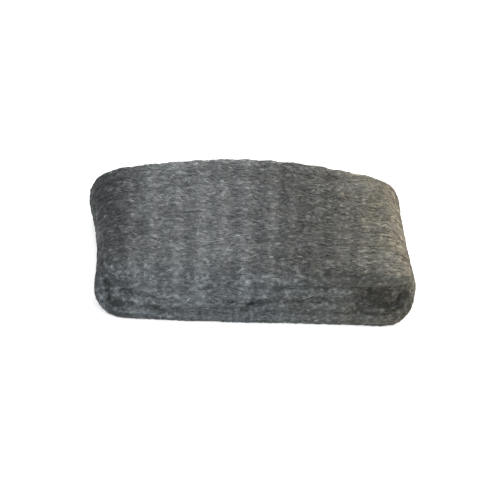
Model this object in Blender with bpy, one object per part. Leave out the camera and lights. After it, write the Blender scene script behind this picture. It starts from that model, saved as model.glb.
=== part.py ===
"""Steel wool pad: one strip of steel wool wound into two flat turns, lying on its flat underside.

The strip is followed from its outer end, under the middle of the pad, to its inner end near the
core. At each station of that path it has a thickness and a width, and its rounded cross-section
there is lofted to the next one. Then the whole roll is pressed: it is lower in front than behind,
and more so on the left, its front rim rolls off and leans back, and its folds are waisted.

X runs from fold to fold, Y across the strip (the front end face looks along -Y), Z is up, in metres.
"""

import math
from collections import namedtuple

import bmesh
import bpy

MM = 0.001

# The roll
PAD_LENGTH = 105.0 * MM
STRIP_WIDTH = 75.0 * MM
LAYER_THICKNESS = 4.2 * MM
LAYER_GAP = 0.35 * MM
EDGE_ROUNDING = 1.5 * MM

# The outer folds, and how far the inner turn stops short of them
FOLD_REACH = 10.5 * MM
FOLD_THICKNESS = 2.6 * MM
FOLD_SQUARENESS = 2.5
LEFT_SETBACK = 2.2 * MM
RIGHT_SETBACK = 2.5 * MM

# The eye left open inside each inner fold
EYE_RISE = 0.9 * MM
EYE_LENGTH = 10.0 * MM

# The strip's two ends, and the slope by which the second layer climbs over the outer one
OUTER_TIP = 0.6 * MM
INNER_TIP = 2.6 * MM
CLIMB_START = -7.6 * MM
CLIMB_LENGTH = 12.0 * MM

# How far the strip's edges draw back at the folds
FRONT_CORNER_DRAW = 8.0 * MM
BACK_CORNER_DRAW = 0.2 * MM
LEFT_RECESS = 2.5 * MM
RIGHT_RECESS = 5.0 * MM
BACK_RECESS = 2.0 * MM
EDGE_WAVER = 0.3 * MM
EDGE_WAVE_LENGTH = 75.0 * MM

# The press
FRONT_SAG = 1.6 * MM
FRONT_TILT = 2.6 * MM
BACK_CROWN = 4.8 * MM
FRONT_BULGE = 1.1 * MM
BACK_BULGE = 5.3 * MM
FRONT_FLARE = 1.5 * MM
BACK_FLARE = 0.5 * MM
LEFT_WAIST = 2.3 * MM
RIGHT_WAIST = 0.8 * MM

# The front rim, which leans back and rolls off, more so towards the left
LEAN = 6.0 * MM
LEAN_TILT = 7.0 * MM
LEAN_START = 0.48
RIM_DROP = 2.0 * MM
RIM_DROP_TILT = 1.0 * MM
RIM_REACH = 14.0 * MM

# The faint gathers across the winding, which fan out a little towards the right
GATHER_PITCH = 7.9 * MM
GATHER_HEIGHT = 0.18 * MM
GATHER_OFFSET = -2.2 * MM
GATHER_FAN = 0.13

# Fineness of the mesh
STATIONS_PER_GATHER = 4
OUTER_FOLD_STEPS = 14
INNER_FOLD_STEPS = 8
BULLNOSE_STEPS = 4
WIDTH_STEPS = 8
WIDTH_CROWDING = 1.6
SHARP_ANGLE = math.radians(50)

# Sizes that follow
LAYER_PITCH = LAYER_THICKNESS + LAYER_GAP
ROLL_HEIGHT = 4 * LAYER_PITCH - LAYER_GAP
MID_HEIGHT = ROLL_HEIGHT / 2
FOLD_X = PAD_LENGTH / 2 - FOLD_REACH
FOLD_HOLLOW = FOLD_REACH - FOLD_THICKNESS
INNER_FOLD_REACH = FOLD_HOLLOW - LAYER_GAP
EYE_REACH = INNER_FOLD_REACH - FOLD_THICKNESS
INNER_RIGHT_X = FOLD_X - RIGHT_SETBACK
INNER_LEFT_X = -FOLD_X + LEFT_SETBACK
STATION_STEP = GATHER_PITCH / STATIONS_PER_GATHER

# One cross-section of the strip: its outward and inward faces as (x, z), and its two edges' draw
Station = namedtuple("Station", "outward inward front_draw back_draw")


def smooth(value):
    """A smooth step from 0 to 1."""
    value = min(max(value, 0.0), 1.0)
    return value * value * (3 - 2 * value)


def unsmooth(level):
    """The place between 0 and 1 where the smooth step reaches a level."""
    return 0.5 - math.sin(math.asin(1 - 2 * level) / 3)


def climb(x):
    """The share of one layer that the strip has climbed at x."""
    return smooth((x - CLIMB_START) / CLIMB_LENGTH)


def climb_place(height):
    """The x at which the climb has reached a height."""
    return CLIMB_START + CLIMB_LENGTH * unsmooth(height / LAYER_PITCH)


def near_left(x):
    """1 at the inner left fold, falling to 0 over the length of the eye."""
    return smooth((INNER_LEFT_X + EYE_LENGTH - x) / EYE_LENGTH)


def near_right(x):
    """1 at the inner right fold, falling to 0 over the length of the eye."""
    return smooth((x - INNER_RIGHT_X + EYE_LENGTH) / EYE_LENGTH)


def eye(x):
    """How far the inner turn's two layers part from each other at x."""
    return EYE_RISE * (near_left(x) + near_right(x))


def outer_draw(x):
    """The draw of the front and back edges of the outer turn, growing round its folds."""
    beyond = max(0.0, abs(x) - FOLD_X) / FOLD_REACH
    return FRONT_CORNER_DRAW * beyond ** 2, BACK_CORNER_DRAW * beyond ** 2


def inner_draw(x):
    """The draw of the front and back edges of the inner turn, growing towards its folds."""
    front = LEFT_RECESS * near_left(x) + RIGHT_RECESS * near_right(x)
    return front, BACK_RECESS * (near_left(x) + near_right(x))


def flat_run(start, end, outward, inward, draw):
    """Stations of a flat layer between two x, its faces' heights given by functions of x."""
    steps = max(1, math.ceil(abs(end - start) / STATION_STEP))
    places = [start + (end - start) * i / steps for i in range(steps + 1)]
    return [Station((x, outward(x)), (x, inward(x)), *draw(x)) for x in places]


def squared(value):
    """A sine or cosine pushed outwards, so that a fold is squarer than an ellipse."""
    return math.copysign(abs(value) ** (2 / FOLD_SQUARENESS), value)


def fold(centre, side, outward_size, inward_size, steps, draw):
    """Stations round a fold to the right (side 1, going up) or to the left (side -1, going down).

    Each size is how far a face reaches beyond the centre, and how far it rises from mid-height.
    """
    stations = []
    for i in range(1, steps):
        angle = math.pi * i / steps
        across, upward = side * squared(math.sin(angle)), -side * squared(math.cos(angle))
        outward, inward = (
            (centre + reach * across, MID_HEIGHT + rise * upward)
            for reach, rise in (outward_size, inward_size))
        stations.append(Station(outward, inward, *draw((outward[0] + inward[0]) / 2)))
    return stations


def outer_turn():
    """The strip from its outer end, under the pad, round the right fold, the top and the left fold."""
    outer_end = climb_place(OUTER_TIP + LAYER_GAP)
    outward_size = (FOLD_REACH, MID_HEIGHT)
    inward_size = (FOLD_HOLLOW, MID_HEIGHT - LAYER_THICKNESS)
    stations = flat_run(
        outer_end, FOLD_X,
        lambda x: 0.0,
        lambda x: min(LAYER_THICKNESS, LAYER_PITCH * climb(x) - LAYER_GAP),
        outer_draw)
    stations += fold(FOLD_X, 1, outward_size, inward_size, OUTER_FOLD_STEPS, outer_draw)
    stations += flat_run(
        FOLD_X, -FOLD_X,
        lambda x: ROLL_HEIGHT,
        lambda x: ROLL_HEIGHT - LAYER_THICKNESS,
        outer_draw)
    stations += fold(-FOLD_X, -1, outward_size, inward_size, OUTER_FOLD_STEPS, outer_draw)
    return stations


def inner_turn():
    """The strip from the left fold, over its own outer end, round the core to its inner end."""
    outward_size = (INNER_FOLD_REACH, MID_HEIGHT - LAYER_PITCH)
    eye_size = (EYE_REACH, EYE_RISE + LAYER_GAP / 2)
    inner_end = climb_place(LAYER_THICKNESS - INNER_TIP)
    stations = flat_run(
        -FOLD_X, INNER_RIGHT_X,
        lambda x: LAYER_PITCH * climb(x),
        lambda x: LAYER_PITCH * climb(x) + LAYER_THICKNESS - EYE_RISE * near_right(x),
        lambda x: inner_draw(x) if x > 0 else outer_draw(x))
    stations += fold(INNER_RIGHT_X, 1, outward_size, eye_size, INNER_FOLD_STEPS, inner_draw)
    stations += flat_run(
        INNER_RIGHT_X, INNER_LEFT_X,
        lambda x: ROLL_HEIGHT - LAYER_PITCH,
        lambda x: 2 * LAYER_PITCH + eye(x),
        inner_draw)
    stations += fold(INNER_LEFT_X, -1, outward_size, eye_size, INNER_FOLD_STEPS, inner_draw)
    stations += flat_run(
        INNER_LEFT_X, inner_end,
        lambda x: LAYER_PITCH * (1 + climb(x)),
        lambda x: LAYER_PITCH + LAYER_THICKNESS - EYE_RISE * near_left(x),
        inner_draw)
    return stations


def with_wavering_edges(stations):
    """The stations with both of the strip's edges wandering a little along its length."""
    travelled = 0.0
    wavering = []
    before = stations[0]
    for station in stations:
        travelled += math.dist(before.outward, station.outward)
        before = station
        phase = 2 * math.pi * travelled / EDGE_WAVE_LENGTH
        wavering.append(station._replace(
            front_draw=station.front_draw + EDGE_WAVER * (1 + math.sin(phase)),
            back_draw=station.back_draw + EDGE_WAVER * (1 + math.cos(phase))))
    return wavering


def section(station):
    """The ring of points round one cross-section, a flat bar with bullnose edges."""
    (out_x, out_z), (in_x, in_z) = station.outward, station.inward
    middle_x, middle_z = (out_x + in_x) / 2, (out_z + in_z) / 2
    half_x, half_z = (out_x - in_x) / 2, (out_z - in_z) / 2
    front = -STRIP_WIDTH / 2 + station.front_draw
    back = STRIP_WIDTH / 2 - station.back_draw

    def across(level, y):
        """A point at a level from the inward face (-1) to the outward face (1)."""
        return (middle_x + half_x * level, y, middle_z + half_z * level)

    angles = [math.pi * (i / BULLNOSE_STEPS - 0.5) for i in range(BULLNOSE_STEPS + 1)]
    depths = [(i / WIDTH_STEPS) ** WIDTH_CROWDING for i in range(1, WIDTH_STEPS)]
    span = back - front - 2 * EDGE_ROUNDING
    ring = [across(math.sin(a), front + EDGE_ROUNDING * (1 - math.cos(a))) for a in angles]
    ring += [across(1, front + EDGE_ROUNDING + span * depth) for depth in depths]
    ring += [across(-math.sin(a), back - EDGE_ROUNDING * (1 - math.cos(a))) for a in angles]
    ring += [across(-1, front + EDGE_ROUNDING + span * depth) for depth in reversed(depths)]
    return ring


def gather(x, y):
    """The height of the gathers at a place, from -1 to 1."""
    lean = GATHER_FAN * (0.5 + x / PAD_LENGTH)
    return math.cos(2 * math.pi * (x - GATHER_OFFSET - lean * y) / GATHER_PITCH)


def rim_drop(along, y):
    """How far the front rim has rolled off at a place, by a quarter of an ellipse."""
    near = min(max(1 - (y + STRIP_WIDTH / 2) / RIM_REACH, 0.0), 1.0)
    return (RIM_DROP - RIM_DROP_TILT * along) * (1 - math.sqrt(1 - near * near))


def rim_lean(along, level, front):
    """How far the front leans back at a level of the roll's height."""
    upper = max(0.0, level - LEAN_START) / (1 - LEAN_START)
    return (LEAN - LEAN_TILT * along) * upper * front ** 2


def pressed(point):
    """A point of the wound roll where the press leaves it. The underside stays flat."""
    x, y, z = point
    along = min(max(2 * x / PAD_LENGTH, -1.0), 1.0)
    arch = 1 - along * along
    back = min(max(y / STRIP_WIDTH + 0.5, 0.0), 1.0)
    front = 1 - back
    rise = (BACK_CROWN * back - FRONT_SAG * front) * arch
    rise += FRONT_TILT * front * along
    rise += GATHER_HEIGHT * gather(x, y)
    rise -= rim_drop(along, y)
    shift = (BACK_BULGE * back - FRONT_BULGE * front) * arch
    shift += rim_lean(along, z / ROLL_HEIGHT, front)
    flare = FRONT_FLARE * front + BACK_FLARE * back
    waist = 4 * front * back * (LEFT_WAIST if along < 0 else RIGHT_WAIST)
    reach = (flare - waist) * along ** 3
    return (x + reach, y + shift, z * (1 + rise / ROLL_HEIGHT))


def centred(rings):
    """The rings with the pad's box centred over the origin, standing on it."""
    points = [point for ring in rings for point in ring]
    low = [min(point[axis] for point in points) for axis in range(3)]
    high = [max(point[axis] for point in points) for axis in range(3)]
    shift = ((low[0] + high[0]) / 2, (low[1] + high[1]) / 2, low[2])
    return [[tuple(c - s for c, s in zip(point, shift)) for point in ring] for ring in rings]


def loft(name, rings):
    """A closed mesh that joins each ring of points to the next, capped at both ends."""
    shape = bmesh.new()
    loops = [[shape.verts.new(point) for point in ring] for ring in rings]
    for loop, following in zip(loops, loops[1:]):
        for i, corner in enumerate(loop):
            shape.faces.new((corner, loop[i - 1], following[i - 1], following[i]))
    shape.faces.new(loops[0])
    shape.faces.new(reversed(loops[-1]))
    bmesh.ops.recalc_face_normals(shape, faces=shape.faces)
    mesh = bpy.data.meshes.new(name)
    shape.to_mesh(mesh)
    shape.free()
    mesh.shade_smooth()
    mesh.set_sharp_from_angle(angle=SHARP_ANGLE)
    return mesh


def steel_wool():
    """Grey matted steel fibre."""
    material = bpy.data.materials.new("steel_wool")
    material.use_nodes = True
    shader = material.node_tree.nodes["Principled BSDF"]
    shader.inputs["Base Color"].default_value = (0.13, 0.135, 0.14, 1.0)
    shader.inputs["Metallic"].default_value = 0.8
    shader.inputs["Roughness"].default_value = 0.6
    return material


def clear_scene():
    for item in list(bpy.data.objects):
        bpy.data.objects.remove(item)


def build_pad():
    """The whole pad as one object."""
    stations = with_wavering_edges(outer_turn() + inner_turn())
    rings = [[pressed(point) for point in section(station)] for station in stations]
    mesh = loft("steel_wool_pad", centred(rings))
    mesh.materials.append(steel_wool())
    pad = bpy.data.objects.new("steel_wool_pad", mesh)
    bpy.context.collection.objects.link(pad)
    return pad


clear_scene()
build_pad()
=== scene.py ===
"""The looks of the steel wool pad: a matted core, and thousands of steel fibres laid along its winding.

X runs from fold to fold, Y across the strip (the front end face looks along -Y), Z is up, in metres.
"""

import math

import bmesh
import bpy
import numpy as np
from mathutils import Matrix, Vector, noise
from mathutils.bvhtree import BVHTree


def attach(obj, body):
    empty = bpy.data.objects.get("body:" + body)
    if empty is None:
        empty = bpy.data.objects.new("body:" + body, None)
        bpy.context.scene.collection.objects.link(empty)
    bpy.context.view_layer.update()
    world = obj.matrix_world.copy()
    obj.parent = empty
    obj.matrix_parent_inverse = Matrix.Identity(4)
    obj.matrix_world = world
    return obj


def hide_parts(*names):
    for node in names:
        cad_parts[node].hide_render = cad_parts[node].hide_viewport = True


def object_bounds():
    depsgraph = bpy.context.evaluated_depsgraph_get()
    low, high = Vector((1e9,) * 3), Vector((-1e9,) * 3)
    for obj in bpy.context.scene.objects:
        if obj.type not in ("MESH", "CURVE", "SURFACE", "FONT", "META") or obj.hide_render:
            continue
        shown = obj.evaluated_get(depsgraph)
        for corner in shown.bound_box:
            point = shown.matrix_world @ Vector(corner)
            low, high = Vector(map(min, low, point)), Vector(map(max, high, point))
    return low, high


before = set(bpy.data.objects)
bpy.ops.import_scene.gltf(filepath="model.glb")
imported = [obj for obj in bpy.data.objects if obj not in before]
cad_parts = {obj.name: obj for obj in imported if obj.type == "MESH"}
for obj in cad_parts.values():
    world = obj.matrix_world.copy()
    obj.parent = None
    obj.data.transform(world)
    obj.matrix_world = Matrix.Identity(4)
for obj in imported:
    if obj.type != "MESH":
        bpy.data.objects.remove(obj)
CAD_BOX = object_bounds()

MM = 0.001
NODE = "steel_wool_pad"
BODY = "root"
SEED = 4711

# Guards against division by nothing
LEAST_AREA = 1e-15
LEAST_LENGTH = 1e-12

# The core: the wound layers matted into each other, and the loose wool deep inside the folds
MATTING = 0.50 * MM
CORE_VOXEL = 0.55 * MM
CORE_SMOOTHING = 3
CORE_INSET = 0.10 * MM
CORE_LUMPS = 0.07 * MM
CORE_LUMP_SIZE = (9 * MM, 5 * MM, 5 * MM)
CORE_FUR = 0.09 * MM
CORE_FUR_SIZE = (1.6 * MM, 0.9 * MM, 0.9 * MM)
INFILL_SHARE = Vector((0.95, 0.91, 0.55))
INFILL_CENTRE = Vector((0, 0, 9.1 * MM))

# Loose wool in the openings of the end faces and over the strip's outer end, as (middle, reach)
PLUG_SUBDIVISIONS = 4
PLUGS = (
    (Vector((-48.8, -27.5, 9.0)) * MM, Vector((3.2, 3.6, 3.4)) * MM),
    (Vector((-48.6, -29.5, 6.2)) * MM, Vector((3.0, 3.6, 2.8)) * MM),
    (Vector((-39.5, -28.0, 7.8)) * MM, Vector((6.5, 6.0, 1.3)) * MM),
    (Vector((-24.0, -36.5, 4.5)) * MM, Vector((25.0, 2.6, 1.0)) * MM),
    (Vector((49.0, -28.6, 11.6)) * MM, Vector((3.0, 5.0, 4.2)) * MM),
    (Vector((-1.0, 34.5, 9.4)) * MM, Vector((2.8, 5.0, 1.9)) * MM),
    (Vector((-7.5, -39.3, 0.8)) * MM, Vector((6.5, 1.5, 1.1)) * MM),
)

# The winding of the strip, for the direction of its fibres, taken from the layer behind on an end face
FOLD_X = 42.0 * MM
FOLD_RADIUS = 8.9 * MM
END_FACE_NORMAL = 0.5
LAYER_PROBE = 3.0 * MM
LEAST_DIRECTION = 0.05

# How open the core is at a point: rays straight out and tilted to four sides, and where fibres start; it
# also sets painted shade where the core is closed in
CAVITY_TILTS = ((0.0, 0.0), (0.9, 0.0), (-0.9, 0.0), (0.0, 0.9), (0.0, -0.9))
CAVITY_START_MM = 0.4
CAVITY_REACH = 9.0 * MM
BARE_SHARE = 0.1
THIN_RANGE = 0.4

# Fibres: tubes that taper and twist, wander off the winding in waves, and keep part of their old normal
FIBRE_SIDES = 3
FIBRE_TAPER = 0.2
FIBRE_TWIST = 1.5
DRIFT_WAVES = 1.1
NORMAL_EASE = 2

# How many fibres start on the sides, and how many more or fewer on the top, the front and the underside
SIDE_WEIGHT = 0.75
TOP_EXTRA = 0.35
FRONT_EXTRA = 0.6
UNDER_LESS = 0.35

# Shades of the wool: clumps and patches of its own tone, and painted light and shade on broad parts of the
# winding as (middle, reach, shade)
NOISE_STEP = np.array((13.7, 7.1, 3.3))
CLUMP_SIZE = (1.25 * MM, 1.85 * MM, 1.0 * MM)
CLUMP_SHADE = 0.50
CLUMP_PEAK = 1.2
PATCH_SIZE = 8.0 * MM
PATCH_SHADE = 0.12
BROAD_PAINTED_LIGHT_AND_SHADE = (
    (-49.5 * MM, 9.5 * MM, -0.42), (-19 * MM, 14 * MM, 0.13),
    (19 * MM, 18 * MM, -0.28), (44 * MM, 7 * MM, 0.05))

# Painted light and shade on the front end face and in its openings, darker under the rim and in the holes
# and seams, lighter in places, as (middle x, middle z, reach x, reach z, shade)
FRONT_PAINTED_LIGHT_AND_SHADE = (
    (24 * MM, 18.5 * MM, 22 * MM, 3.5 * MM, -0.40), (43 * MM, 5 * MM, 9 * MM, 5 * MM, -0.15),
    (14 * MM, 10 * MM, 20 * MM, 3.5 * MM, -0.20), (48 * MM, 4.6 * MM, 4.5 * MM, 2.2 * MM, -0.25),
    (-43 * MM, 4.5 * MM, 7 * MM, 3.5 * MM, -0.20),
    (51 * MM, 13 * MM, 5 * MM, 6 * MM, 0.30), (-48 * MM, 11 * MM, 6 * MM, 4 * MM, -0.20),
    (4 * MM, 3 * MM, 36 * MM, 3 * MM, 0.10), (-45 * MM, 4.9 * MM, 3.5 * MM, 0.9 * MM, -0.35),
    (-38 * MM, 6.3 * MM, 9 * MM, 0.8 * MM, 0.16), (-37 * MM, 4.6 * MM, 10 * MM, 0.7 * MM, -0.24),
    (-38 * MM, 8.0 * MM, 8 * MM, 1.0 * MM, 0.16), (-12 * MM, 5.8 * MM, 9 * MM, 0.8 * MM, -0.18),
    (-6 * MM, 7 * MM, 4.5 * MM, 1.2 * MM, -0.20))

# Where the painted light and shade of the front end face reach: it spreads over the rim by its normals, and
# takes in what lies near and low enough
FRONT_SPREAD = 1.8
FRONT_DEPTH = 12 * MM
FRONT_HEIGHT = 13 * MM

# Painted light on the back rim
RIM_START = 33 * MM
RIM_REACH = 6 * MM
RIM_PAINTED_LIGHT = 0.32

# Painted glints on a few bright fibres, and painted warm light that tints the wool towards the right-hand
# fold
GLINT_SHARE = 0.06
GLINT_SHADE = 0.36
WARM_LIGHT_START = 0 * MM
WARM_LIGHT_REACH = 50 * MM
WARM_LIGHT_PATCHES = 0.3
WARM_LIGHT_TINT = (1.12, 1.0, 0.78, 1)

# Painted light and shade on the gathers across the strip, strongest in the middle, and on finer uneven
# creases beside them
GATHER_PITCH = 7.9 * MM
GATHER_OFFSET = -2.2 * MM
GATHER_FAN = 0.13
GATHER_PAINTED_SHADE = 0.02
GATHER_MIDDLE_PAINTED_SHADE = 0.06
GATHER_MIDDLE = 20 * MM
CREASE_PITCH = 2.6 * MM
CREASE_RUN = 34 * MM
CREASE_PAINTED_SHADE = 0.14

# Painted shade in the seams between the layers and in the deep openings, darker than the wool on them
SEAM_START = 0.2 * MM
SEAM_DEPTH = 0.4 * MM
SEAM_PAINTED_SHADE = 0.28
SEAM_LOW = 5.0 * MM
SEAM_FULL = 7.0 * MM
SEAM_LEAST = 0.25

# Colours and finish of the fibres, from dark to bright by their tone
FIBRE_DARK = (0.052, 0.057, 0.060, 1)
FIBRE_MIDDLE = (0.134, 0.143, 0.149, 1)
FIBRE_BRIGHT = (0.38, 0.40, 0.41, 1)
FIBRE_METALLIC = 0.6
FIBRE_ROUGHNESS = 0.48

# Colours and finish of the core: streaks along the winding, between two levels of their noise
CORE_DARK = (0.042, 0.045, 0.0465, 1)
CORE_BRIGHT = (0.120, 0.128, 0.133, 1)
CORE_LEVELS = (0.36, 0.66)
CORE_METALLIC = 0.5
CORE_ROUGHNESS = 0.6
STREAKS_PER_METRE = (800, 1400, 1400)
STREAK_DETAIL = 4.0
STREAK_ROUGHNESS = 0.65
STREAK_DISTORTION = 0.8
BUMP_STRENGTH = 0.5
BUMP_DISTANCE = 0.2 * MM

# How openness (painted shade where the core is closed in) and the wool's tone with its painted light and
# shade multiply the core's colour, as (from, to, low, high)
CLOSED_IN_PAINTED_SHADE_RANGE = (0.0, 0.9, 0.5, 1.0)
TONE_AND_PAINTED_LIGHT_RANGE = (-0.4, 0.6, 0.3, 2.2)

# The floor and the world
FLOOR_REACH = 3.0
FLOOR_GAP = 0.05 * MM
FLOOR_COLOUR = (0.6, 0.6, 0.6, 1)
FLOOR_GLOW = 0.75
WORLD_LIGHT = 0.30

# The lamps, as (name, place, size, power, colour): a cool key, a back light, and a low warm one
LAMPS = (
    ("key_light", (0.06, -0.50, 0.82), 0.5, 7.4, (0.87, 0.95, 1.0)),
    ("back_light", (0.20, 0.75, 0.50), 0.5, 1.6, (1, 1, 1)),
    ("warm_light", (0.23, 0.08, 0.15), 0.14, 0.62, (1.0, 0.80, 0.58)),
)

# The camera
TARGET = Vector((0, 0, 9.0)) * MM
YAW = math.radians(-4.81)
ELEVATION = math.radians(26.35)
ROLL = math.radians(4.03)
DISTANCE = 2006 * MM
PIXELS_PER_RADIAN = 5984.0
FRAME_PIXELS = 499
TARGET_PIXEL = (250.26, 246.00)
SENSOR = 36.0
CLIP_END = 20

random = np.random.default_rng(SEED)


def mesh_object(name, mesh):
    """A new object in the scene with this mesh."""
    piece = bpy.data.objects.new(name, mesh)
    bpy.context.scene.collection.objects.link(piece)
    return piece


def apply_modifiers(piece):
    """Leaves the piece with the mesh that its modifiers make."""
    graph = bpy.context.evaluated_depsgraph_get()
    mesh = bpy.data.meshes.new_from_object(piece.evaluated_get(graph))
    piece.modifiers.clear()
    piece.data = mesh


def coordinates(mesh):
    """The mesh's points as an array."""
    points = np.empty(len(mesh.vertices) * 3, np.float32)
    mesh.vertices.foreach_get("co", points)
    return points.reshape(-1, 3).astype(float)


def vertex_normals(mesh):
    """The mesh's vertex normals as an array."""
    normals = np.empty(len(mesh.vertices) * 3, np.float32)
    mesh.vertex_normals.foreach_get("vector", normals)
    return normals.reshape(-1, 3).astype(float)


def search_tree(mesh):
    """A tree of the mesh's faces for nearest points and rays."""
    shape = bmesh.new()
    shape.from_mesh(mesh)
    tree = BVHTree.FromBMesh(shape)
    shape.free()
    return tree


def add_values(mesh, name, values):
    """Stores one number a point on the mesh for its material."""
    layer = mesh.attributes.new(name, "FLOAT", "POINT")
    layer.data.foreach_set("value", np.asarray(values, np.float32))


def winding_place(points):
    """How far round the pad each point lies along the winding, from the middle of the top."""
    x, z = points[:, 0], points[:, 2]
    beyond = np.clip(np.abs(x) - FOLD_X, 0, None)
    turn = np.arctan2(beyond, z - FOLD_RADIUS)
    turn = np.where(beyond > 0, turn, np.where(z > FOLD_RADIUS, 0.0, math.pi))
    flat = np.minimum(np.abs(x), FOLD_X)
    along = np.where(turn >= math.pi, 2 * FOLD_X - flat, flat)
    return np.sign(x) * (along + FOLD_RADIUS * turn)


def streak(points, size, seed):
    """Smooth noise from -1 to 1, of its own size along each axis."""
    scaled = points / np.broadcast_to(size, 3) + NOISE_STEP * seed
    return np.array([noise.noise(Vector(place)) for place in scaled.tolist()])


def clumps(points):
    """How much lighter or darker the clumps make each point, with light peaks and flatter hollows."""
    wave = streak(points, CLUMP_SIZE, seed=5)
    return CLUMP_SHADE * (wave + CLUMP_PEAK * wave ** 2)


def gather_light_and_shade(points):
    """Painted light and shade on the gathers and creases: how much lighter or darker they make each point.
    """
    x, y, z = points.T
    lean = GATHER_FAN * (0.5 + x / (CAD_BOX[1][0] - CAD_BOX[0][0]))
    along = winding_place(points) - lean * y - GATHER_OFFSET
    wave = np.cos(2 * math.pi * along / GATHER_PITCH)
    middle = np.exp(-(along / GATHER_MIDDLE) ** 2)
    unwound = np.stack([along, y, z], axis=1)
    creases = streak(unwound, (CREASE_PITCH, CREASE_RUN, CREASE_RUN), seed=7)
    return wave * (GATHER_PAINTED_SHADE + GATHER_MIDDLE_PAINTED_SHADE * middle) + creases * CREASE_PAINTED_SHADE


def seams(layers, points):
    """How deep in a seam between the layers each point is, from 0 to 1, for the painted shade there."""
    depths = []
    for point in points.tolist():
        place, normal, _, distance = layers.find_nearest(point)
        outside = (Vector(point) - place).dot(normal) > 0
        depths.append((distance - SEAM_START) / SEAM_DEPTH if outside else 0.0)
    return np.clip(depths, 0, 1)


def front_share(points, normals):
    """Where the front end face's painted light and shade fall: 1 on the front end face and in its openings,
    0 on the top and the sides.
    """
    near = (points[:, 1] < CAD_BOX[0][1] + FRONT_DEPTH) & (points[:, 2] < FRONT_HEIGHT)
    return np.where(near, 1.0, np.clip(-normals[:, 1] * FRONT_SPREAD, 0, 1))


def wool_tone_and_painted_light(layers, points, normals):
    """How much lighter or darker the wool is at each point, apart from single fibres: clumps and patches of
    its own tone, and painted light and shade on the gathers, in the seams, along the winding, on the front
    end face and on the back rim.
    """
    x, y, z = points.T
    shade = clumps(points) + gather_light_and_shade(points) + streak(points, PATCH_SIZE, seed=9) * PATCH_SHADE
    # Painted shade in the seams, weaker low down
    seam_share = SEAM_LEAST + (1 - SEAM_LEAST) * np.clip((z - SEAM_LOW) / (SEAM_FULL - SEAM_LOW), 0, 1)
    shade -= seams(layers, points) * SEAM_PAINTED_SHADE * seam_share
    front = front_share(points, normals)
    along = winding_place(points)
    # Painted light and shade along the winding, away from the front end face
    for middle, reach, strength in BROAD_PAINTED_LIGHT_AND_SHADE:
        shade += (1 - front) * strength * np.exp(-((along - middle) / reach) ** 2)
    # Painted light and shade on the front end face
    for middle_x, middle_z, reach_x, reach_z, strength in FRONT_PAINTED_LIGHT_AND_SHADE:
        apart = ((x - middle_x) / reach_x) ** 2 + ((z - middle_z) / reach_z) ** 2
        shade += front * strength * np.exp(-apart)
    # Painted light on the back rim
    return shade + RIM_PAINTED_LIGHT * np.clip((y - RIM_START) / RIM_REACH, 0, 1)


def painted_warm_light(points):
    """How much painted warm light tints the wool at each point, from 0 to 1."""
    share = (points[:, 0] - WARM_LIGHT_START) / WARM_LIGHT_REACH + streak(points, PATCH_SIZE, seed=11) * WARM_LIGHT_PATCHES
    return np.clip(share, 0, 1)


def openness(tree, points, normals):
    """The share of rays from each point that get away from the pad."""
    shares = np.empty(len(points))
    for i, (point, normal) in enumerate(zip(points, normals)):
        out = Vector(normal).normalized()
        side = out.orthogonal().normalized()
        other = out.cross(side)
        start = Vector(point) + out * CAVITY_START_MM * MM
        free = 0
        for a, b in CAVITY_TILTS:
            ray = (out + side * a + other * b).normalized()
            if tree.ray_cast(start, ray, CAVITY_REACH)[0] is None:
                free += 1
        shares[i] = free / len(CAVITY_TILTS)
    return shares


def inner_hull(mesh):
    """A smaller convex hull of the mesh, inside it."""
    hull = bmesh.new()
    hull.from_mesh(mesh)
    made = bmesh.ops.convex_hull(hull, input=hull.verts)
    inside = made["geom_interior"] + made["geom_unused"]
    loose = {item for item in inside if isinstance(item, bmesh.types.BMVert)}
    bmesh.ops.delete(hull, geom=list(loose), context="VERTS")
    spare = set(made["geom_holes"])
    kept = {item for item in made["geom"] if isinstance(item, bmesh.types.BMFace)} - spare
    bmesh.ops.delete(hull, geom=[face for face in hull.faces if face not in kept], context="FACES")
    for vert in hull.verts:
        vert.co = INFILL_CENTRE + (vert.co - INFILL_CENTRE) * INFILL_SHARE
    inner = bpy.data.meshes.new("infill")
    hull.to_mesh(inner)
    hull.free()
    return inner


def add_infill(mesh):
    """Adds the inner hull to the mesh, which closes the folds deep down, and the plugs."""
    inner = inner_hull(mesh)
    both = bmesh.new()
    both.from_mesh(mesh)
    both.from_mesh(inner)
    for middle, reach in PLUGS:
        place = Matrix.LocRotScale(middle, None, reach)
        bmesh.ops.create_icosphere(both, subdivisions=PLUG_SUBDIVISIONS, radius=1.0, matrix=place)
    both.to_mesh(mesh)
    both.free()


def keep_outer_shell(mesh):
    """Removes the closed hollows inside the mesh, which are shells of their own."""
    shape = bmesh.new()
    shape.from_mesh(mesh)
    top = max(shape.verts, key=lambda vert: vert.co.z)
    reached = {top}
    waiting = [top]
    while waiting:
        vert = waiting.pop()
        for edge in vert.link_edges:
            other = edge.other_vert(vert)
            if other not in reached:
                reached.add(other)
                waiting.append(other)
    hollows = [vert for vert in shape.verts if vert not in reached]
    bmesh.ops.delete(shape, geom=hollows, context="VERTS")
    shape.to_mesh(mesh)
    shape.free()


def matted_core(cad):
    """The layers grown into each other."""
    core = mesh_object("matted_core", cad.data.copy())
    core.data.materials.clear()
    thicken = core.modifiers.new("thicken", "DISPLACE")
    thicken.strength = MATTING
    thicken.mid_level = 0.0
    apply_modifiers(core)
    add_infill(core.data)
    remesh = core.modifiers.new("remesh", "REMESH")
    remesh.mode = "VOXEL"
    remesh.voxel_size = CORE_VOXEL
    ease = core.modifiers.new("ease", "SMOOTH")
    ease.iterations = CORE_SMOOTHING
    thin = core.modifiers.new("thin", "DISPLACE")
    thin.strength = -(MATTING + CORE_INSET)
    thin.mid_level = 0.0
    apply_modifiers(core)
    keep_outer_shell(core.data)
    return core


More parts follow.
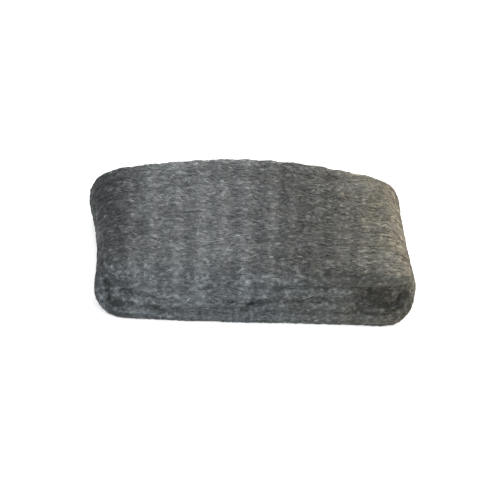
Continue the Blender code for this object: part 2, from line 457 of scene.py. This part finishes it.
def fur_core(core):
    """Moves the core's points in and out, in lumps and in short streaks."""
    mesh = core.data
    points = coordinates(mesh)
    lumps = streak(points, CORE_LUMP_SIZE, seed=1) * CORE_LUMPS
    fur = streak(points, CORE_FUR_SIZE, seed=2) * CORE_FUR
    points += vertex_normals(mesh) * (lumps + fur)[:, None]
    points[:, 2] = np.maximum(points[:, 2], CAD_BOX[0][2])
    mesh.vertices.foreach_set("co", points.astype(np.float32).ravel())
    mesh.shade_smooth()
    mesh.update()


def start_places(core, open_share, count, weight):
    """Random points and normals on the core's open skin, by area and by a weight for each normal."""
    mesh = core.data
    mesh.calc_loop_triangles()
    corners = np.empty(len(mesh.loop_triangles) * 3, np.int32)
    mesh.loop_triangles.foreach_get("vertices", corners)
    corners = corners.reshape(-1, 3)
    points = coordinates(mesh)
    a, b, c = (points[corners[:, i]] for i in range(3))
    cross = np.cross(b - a, c - a)
    area = np.linalg.norm(cross, axis=1)
    normals = cross / np.maximum(area, LEAST_AREA)[:, None]
    shown = np.clip((open_share[corners].mean(axis=1) - BARE_SHARE) / THIN_RANGE, 0, 1)
    chance = area * shown * weight(normals)
    picked = random.choice(len(corners), count, p=chance / chance.sum())
    u, v = random.random(count), random.random(count)
    over = u + v > 1
    u, v = np.where(over, 1 - u, u), np.where(over, 1 - v, v)
    places = a[picked] + (b - a)[picked] * u[:, None] + (c - a)[picked] * v[:, None]
    return places, normals[picked]


def winding_direction(layers, point, normal):
    """The direction of the winding at a point of the skin, from the layer that it lies on."""
    if abs(normal.y) > END_FACE_NORMAL:
        probe = point - Vector((0, math.copysign(LAYER_PROBE, normal.y), 0))
        normal = layers.find_nearest(probe)[1]
    direction = normal.cross(Vector((0, 1, 0)))
    return direction.normalized() if direction.length > LEAST_DIRECTION else Vector((1, 0, 0))


def laid_fibre(skin, layers, start, normal, kind):
    """The points of one fibre that follows the skin along the winding, and the skin's normals there."""
    count = kind["points"]
    step = random.uniform(*kind["length"]) / (count - 1)
    lean = random.normal(0, kind["lean"])
    drift = random.normal(0, kind["drift"])
    phase = random.uniform(0, 2 * math.pi)
    side = random.choice((-1, 1))
    low, high = kind["lift"]
    top = random.uniform(low, high)
    tails = random.uniform(low, top, 2)
    point, out = Vector(start), Vector(normal)
    track, outs = [], []
    for i in range(count):
        along = i / (count - 1)
        hump = math.sin(math.pi * along)
        tail = tails[0] * (1 - along) + tails[1] * along
        track.append(tuple(point + out * (tail * (1 - hump) + top * hump)))
        outs.append(tuple(out))
        heading = winding_direction(layers, point, out) * side
        swing = lean + drift * math.sin(2 * DRIFT_WAVES * math.pi * along + phase)
        heading = Matrix.Rotation(swing, 3, out) @ heading
        heading = heading - out * heading.dot(out)
        found = skin.find_nearest(point + heading.normalized() * step)
        point, out = found[0], (out * NORMAL_EASE + found[1]).normalized()
    return track, outs


def tube_faces(fibres, rings):
    """The faces of many tubes with this many rings each: their walls, then their end caps."""
    ring = np.arange(FIBRE_SIDES)
    after = (ring + 1) % FIBRE_SIDES
    first = (np.arange(fibres)[:, None] * rings + np.arange(rings - 1)).reshape(-1, 1) * FIBRE_SIDES
    far = first + FIBRE_SIDES
    walls = np.stack([first + ring, first + after, far + after, far + ring], axis=2)
    starts = (np.arange(fibres) * rings * FIBRE_SIDES)[:, None]
    ends = starts + (rings - 1) * FIBRE_SIDES
    caps = np.concatenate([starts + ring[::-1], ends + ring])
    return walls.reshape(-1, 4).tolist() + caps.tolist()


def tube_mesh(name, tracks, outs, widths):
    """One mesh of three-sided tapering tubes, one along each track."""
    tracks, outs = np.array(tracks), np.array(outs)
    fibres, rings = tracks.shape[:2]
    heading = np.gradient(tracks, axis=1)
    side = np.cross(heading, outs)
    side /= np.maximum(np.linalg.norm(side, axis=2), LEAST_LENGTH)[..., None]
    up = np.cross(side, heading)
    up /= np.maximum(np.linalg.norm(up, axis=2), LEAST_LENGTH)[..., None]
    taper = np.sqrt(np.sin(np.linspace(FIBRE_TAPER, math.pi - FIBRE_TAPER, rings)))
    radius = widths[:, None] / 2 * taper[None, :]
    twist = random.uniform(0, 2 * math.pi, fibres)[:, None] + np.linspace(0, FIBRE_TWIST, rings)[None, :]
    corners = []
    for i in range(FIBRE_SIDES):
        angle = twist + 2 * math.pi * i / FIBRE_SIDES
        swing = side * np.cos(angle)[..., None] + up * np.sin(angle)[..., None]
        corners.append(tracks + swing * radius[..., None])
    points = np.stack(corners, axis=2).reshape(-1, 3)
    points[:, 2] = np.maximum(points[:, 2], CAD_BOX[0][2])
    mesh = bpy.data.meshes.new(name)
    mesh.from_pydata(points.tolist(), [], tube_faces(fibres, rings))
    mesh.shade_smooth()
    return mesh


def fibre_piece(name, core, skin, layers, open_share, kind):
    """One piece of many fibres of a kind."""
    places, normals = start_places(core, open_share, kind["count"], kind["weight"])
    laid = [laid_fibre(skin, layers, place, normal, kind) for place, normal in zip(places, normals)]
    tracks, outs = zip(*laid)
    widths = random.uniform(*kind["width"], kind["count"]) * MM
    middles = np.array(tracks)[:, kind["points"] // 2]
    facing = np.array(outs)[:, kind["points"] // 2]
    # Each fibre's tone: its own spread, the wool's tone with its painted light and shade, and painted
    # glints
    tones = random.beta(*kind["tone"], kind["count"]) + wool_tone_and_painted_light(layers, middles, facing)
    # Painted glints: a few fibres made bright
    tones += GLINT_SHADE * (random.random(kind["count"]) < GLINT_SHARE)
    mesh = tube_mesh(name, tracks, outs, widths)
    corners = kind["points"] * FIBRE_SIDES
    add_values(mesh, "tone", np.repeat(np.clip(tones, 0, 1), corners))
    # Painted warm light towards the right-hand fold
    add_values(mesh, "painted_warm_light", np.repeat(painted_warm_light(middles), corners))
    return mesh_object(name, mesh)


def shader_of(material):
    """The material's main shader."""
    material.use_nodes = True
    return material.node_tree.nodes["Principled BSDF"]


def attribute(nodes, name):
    """The number that the mesh stores under this name."""
    node = nodes.new("ShaderNodeAttribute")
    node.attribute_name = name
    return node.outputs["Fac"]


def ranged(nodes, links, value, limits):
    """The value carried from one range to another, given as (from, to, low, high)."""
    node = nodes.new("ShaderNodeMapRange")
    for name, limit in zip(("From Min", "From Max", "To Min", "To Max"), limits):
        node.inputs[name].default_value = limit
    links.new(value, node.inputs["Value"])
    return node.outputs[0]


def multiplied(nodes, links, colour):
    """A mix node that multiplies this colour by what its second colour socket is given."""
    mix = nodes.new("ShaderNodeMix")
    mix.data_type = "RGBA"
    mix.blend_type = "MULTIPLY"
    mix.inputs["Factor"].default_value = 1.0
    links.new(colour, mix.inputs[6])
    return mix


def with_painted_warm_light(nodes, links, colour):
    """The colour, tinted warmer where painted warm light falls on the wool."""
    mix = multiplied(nodes, links, colour)
    links.new(attribute(nodes, "painted_warm_light"), mix.inputs["Factor"])
    mix.inputs[7].default_value = WARM_LIGHT_TINT
    return mix.outputs[2]


def fibre_material():
    """Bright to dark steel, by each fibre's tone."""
    material = bpy.data.materials.new("steel_fibre")
    shader = shader_of(material)
    nodes, links = material.node_tree.nodes, material.node_tree.links
    ramp = nodes.new("ShaderNodeValToRGB")
    ramp.color_ramp.elements[0].color = FIBRE_DARK
    ramp.color_ramp.elements[1].color = FIBRE_BRIGHT
    middle = ramp.color_ramp.elements.new(0.5)
    middle.color = FIBRE_MIDDLE
    links.new(attribute(nodes, "tone"), ramp.inputs["Fac"])
    links.new(with_painted_warm_light(nodes, links, ramp.outputs["Color"]), shader.inputs["Base Color"])
    shader.inputs["Metallic"].default_value = FIBRE_METALLIC
    shader.inputs["Roughness"].default_value = FIBRE_ROUGHNESS
    return material


def strand_noise(nodes, links):
    """Noise in fine streaks along the winding."""
    place = nodes.new("ShaderNodeTexCoord")
    split = nodes.new("ShaderNodeSeparateXYZ")
    links.new(place.outputs["Object"], split.inputs[0])
    join = nodes.new("ShaderNodeCombineXYZ")
    links.new(attribute(nodes, "winding"), join.inputs[0])
    links.new(split.outputs["Y"], join.inputs[1])
    links.new(split.outputs["Z"], join.inputs[2])
    stretch = nodes.new("ShaderNodeMapping")
    stretch.inputs["Scale"].default_value = STREAKS_PER_METRE
    links.new(join.outputs[0], stretch.inputs["Vector"])
    strands = nodes.new("ShaderNodeTexNoise")
    strands.inputs["Scale"].default_value = 1.0
    strands.inputs["Detail"].default_value = STREAK_DETAIL
    strands.inputs["Roughness"].default_value = STREAK_ROUGHNESS
    strands.inputs["Distortion"].default_value = STREAK_DISTORTION
    links.new(stretch.outputs[0], strands.inputs["Vector"])
    return strands.outputs["Fac"]


def core_level(nodes, links):
    """How bright the core's colour is: painted shade where it is closed in, and the wool's tone with its
    painted light and shade.
    """
    level = nodes.new("ShaderNodeMath")
    level.operation = "MULTIPLY"
    links.new(ranged(nodes, links, attribute(nodes, "openness"), CLOSED_IN_PAINTED_SHADE_RANGE), level.inputs[0])
    links.new(ranged(nodes, links, attribute(nodes, "shade"), TONE_AND_PAINTED_LIGHT_RANGE), level.inputs[1])
    return level.outputs[0]


def core_material():
    """Dense matted fibre: fine streaks along the winding, with painted shade where the core is closed in.
    """
    material = bpy.data.materials.new("matted_steel")
    shader = shader_of(material)
    nodes, links = material.node_tree.nodes, material.node_tree.links
    strands = strand_noise(nodes, links)
    ramp = nodes.new("ShaderNodeValToRGB")
    dark, bright = ramp.color_ramp.elements
    dark.position, bright.position = CORE_LEVELS
    dark.color, bright.color = CORE_DARK, CORE_BRIGHT
    links.new(strands, ramp.inputs["Fac"])
    shaded = multiplied(nodes, links, ramp.outputs["Color"])
    links.new(core_level(nodes, links), shaded.inputs[7])
    links.new(with_painted_warm_light(nodes, links, shaded.outputs[2]), shader.inputs["Base Color"])
    bump = nodes.new("ShaderNodeBump")
    bump.inputs["Strength"].default_value = BUMP_STRENGTH
    bump.inputs["Distance"].default_value = BUMP_DISTANCE
    links.new(strands, bump.inputs["Height"])
    links.new(bump.outputs[0], shader.inputs["Normal"])
    shader.inputs["Metallic"].default_value = CORE_METALLIC
    shader.inputs["Roughness"].default_value = CORE_ROUGHNESS
    return material


def top_weight(normals):
    """More on the top and the front end face, fewer underneath."""
    _, y, z = normals.T
    more = TOP_EXTRA * np.clip(z, 0, 1)
    return SIDE_WEIGHT + more + FRONT_EXTRA * np.clip(-y, 0, 1) - UNDER_LESS * np.clip(-z, 0, 1)


def even_weight(normals):
    """The same everywhere."""
    return np.ones(len(normals))


# Each kind of fibre: length, lift and width (in mm) are ranges, lean and drift are spreads in radians,
# and tone shapes the spread of its brightness
KINDS = {
    "bed_fibres": {
        "count": 4800, "points": 6, "length": (2.0 * MM, 5 * MM), "width": (0.18, 0.32), "lean": 0.80,
        "drift": 0.35, "lift": (-0.25 * MM, 0.08 * MM), "tone": (8.0, 12.0), "weight": top_weight},
    "short_fibres_a": {
        "count": 9500, "points": 4, "length": (0.9 * MM, 2.2 * MM), "width": (0.20, 0.36), "lean": 0.65,
        "drift": 0.35, "lift": (-0.20 * MM, 0.10 * MM), "tone": (20.0, 30.0), "weight": top_weight},
    "short_fibres_b": {
        "count": 9500, "points": 4, "length": (0.9 * MM, 2.6 * MM), "width": (0.16, 0.30), "lean": 0.55,
        "drift": 0.35, "lift": (-0.15 * MM, 0.15 * MM), "tone": (20.0, 28.0), "weight": top_weight},
    "strands": {
        "count": 1500, "points": 11, "length": (5 * MM, 15 * MM), "width": (0.08, 0.15), "lean": 0.25,
        "drift": 0.30, "lift": (-0.10 * MM, 0.28 * MM), "tone": (4.0, 5.6), "weight": top_weight},
    "fuzz": {
        "count": 4500, "points": 4, "length": (1.0 * MM, 2.6 * MM), "width": (0.05, 0.08), "lean": 0.8,
        "drift": 0.60, "lift": (0.0 * MM, 0.30 * MM), "tone": (6.0, 8.4), "weight": even_weight},
}


def dress_pad():
    """The core and its fibres in place of the plain solid."""
    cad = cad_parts[NODE]
    layers = search_tree(cad.data)
    core = matted_core(cad)
    open_share = openness(search_tree(core.data), coordinates(core.data), vertex_normals(core.data))
    fur_core(core)
    skin = search_tree(core.data)
    steel = fibre_material()
    pieces = []
    for name, kind in KINDS.items():
        piece = fibre_piece(name, core, skin, layers, open_share, kind)
        piece.data.materials.append(steel)
        pieces.append(piece)
    # Openness sets painted shade where the core is closed in
    add_values(core.data, "openness", open_share)
    points = coordinates(core.data)
    add_values(core.data, "winding", winding_place(points))
    # The wool's tone with its painted light and shade
    add_values(core.data, "shade", wool_tone_and_painted_light(layers, points, vertex_normals(core.data)))
    # Painted warm light towards the right-hand fold
    add_values(core.data, "painted_warm_light", painted_warm_light(points))
    core.data.materials.append(core_material())
    pieces.append(core)
    for piece in pieces:
        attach(piece, BODY)
        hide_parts(NODE)


def background_ray(nodes, links):
    """1 for rays from the camera, off metal or through glass, which see the white background."""
    path = nodes.new("ShaderNodeLightPath")
    level = path.outputs["Is Camera Ray"]
    for other in ("Is Glossy Ray", "Is Transmission Ray"):
        either = nodes.new("ShaderNodeMath")
        either.operation = "MAXIMUM"
        links.new(level, either.inputs[0])
        links.new(path.outputs[other], either.inputs[1])
        level = either.outputs[0]
    return level


def plain_floor():
    """A floor that is seen as white outside the pad's shadow."""
    mesh = bpy.data.meshes.new("floor")
    corners = [(x * FLOOR_REACH, y * FLOOR_REACH, 0) for x, y in ((-1, -1), (1, -1), (1, 1), (-1, 1))]
    mesh.from_pydata(corners, [], [(0, 1, 2, 3)])
    floor = mesh_object("floor", mesh)
    floor.location.z = CAD_BOX[0][2] - FLOOR_GAP
    material = bpy.data.materials.new("floor_white")
    material.use_nodes = True
    nodes, links = material.node_tree.nodes, material.node_tree.links
    nodes.clear()
    diffuse = nodes.new("ShaderNodeBsdfDiffuse")
    diffuse.inputs["Color"].default_value = FLOOR_COLOUR
    glow = nodes.new("ShaderNodeEmission")
    seen = nodes.new("ShaderNodeMath")
    seen.operation = "MULTIPLY"
    seen.inputs[1].default_value = FLOOR_GLOW
    links.new(background_ray(nodes, links), seen.inputs[0])
    links.new(seen.outputs[0], glow.inputs["Strength"])
    both = nodes.new("ShaderNodeAddShader")
    links.new(diffuse.outputs[0], both.inputs[0])
    links.new(glow.outputs[0], both.inputs[1])
    output = nodes.new("ShaderNodeOutputMaterial")
    links.new(both.outputs[0], output.inputs["Surface"])
    mesh.materials.append(material)


def area_light(name, place, size, power, colour):
    """A soft square lamp that looks at the pad."""
    data = bpy.data.lights.new(name, "AREA")
    data.shape = "SQUARE"
    data.size = size
    data.energy = power
    data.color = colour
    lamp = bpy.data.objects.new(name, data)
    lamp.location = place
    lamp.rotation_euler = (-Vector(place)).to_track_quat("-Z", "Y").to_euler()
    bpy.context.scene.collection.objects.link(lamp)


def studio():
    """Plain soft light from above and in front, a little warmer from the right."""
    world = bpy.data.worlds.new("studio")
    bpy.context.scene.world = world
    world.use_nodes = True
    nodes, links = world.node_tree.nodes, world.node_tree.links
    background = nodes["Background"]
    level = ranged(nodes, links, background_ray(nodes, links), (0, 1, WORLD_LIGHT, 1))
    links.new(level, background.inputs["Strength"])
    background.inputs["Color"].default_value = (1, 1, 1, 1)
    for lamp in LAMPS:
        area_light(*lamp)


def photo_camera():
    """The camera at the photograph's angle, with a long lens and a slight roll."""
    across = Vector((math.cos(YAW), math.sin(YAW), 0))
    back = Vector((
        math.sin(YAW) * math.cos(ELEVATION),
        -math.cos(YAW) * math.cos(ELEVATION),
        math.sin(ELEVATION),
    ))
    above = back.cross(across)
    right = across * math.cos(ROLL) + above * math.sin(ROLL)
    up = above * math.cos(ROLL) - across * math.sin(ROLL)
    pixel = DISTANCE / PIXELS_PER_RADIAN
    aside = right * (FRAME_PIXELS / 2 - TARGET_PIXEL[0]) * pixel
    down = up * (TARGET_PIXEL[1] - FRAME_PIXELS / 2) * pixel
    data = bpy.data.cameras.new("photo_camera")
    data.sensor_width = SENSOR
    data.lens = PIXELS_PER_RADIAN * SENSOR / FRAME_PIXELS
    data.clip_end = CLIP_END
    camera = bpy.data.objects.new("photo_camera", data)
    axes = Matrix((right, up, back)).transposed().to_4x4()
    camera.matrix_world = Matrix.Translation(TARGET + back * DISTANCE + aside + down) @ axes
    bpy.context.scene.collection.objects.link(camera)
    bpy.context.scene.camera = camera


dress_pad()
plain_floor()
studio()
photo_camera()
bpy.context.scene.view_settings.view_transform = "Standard"
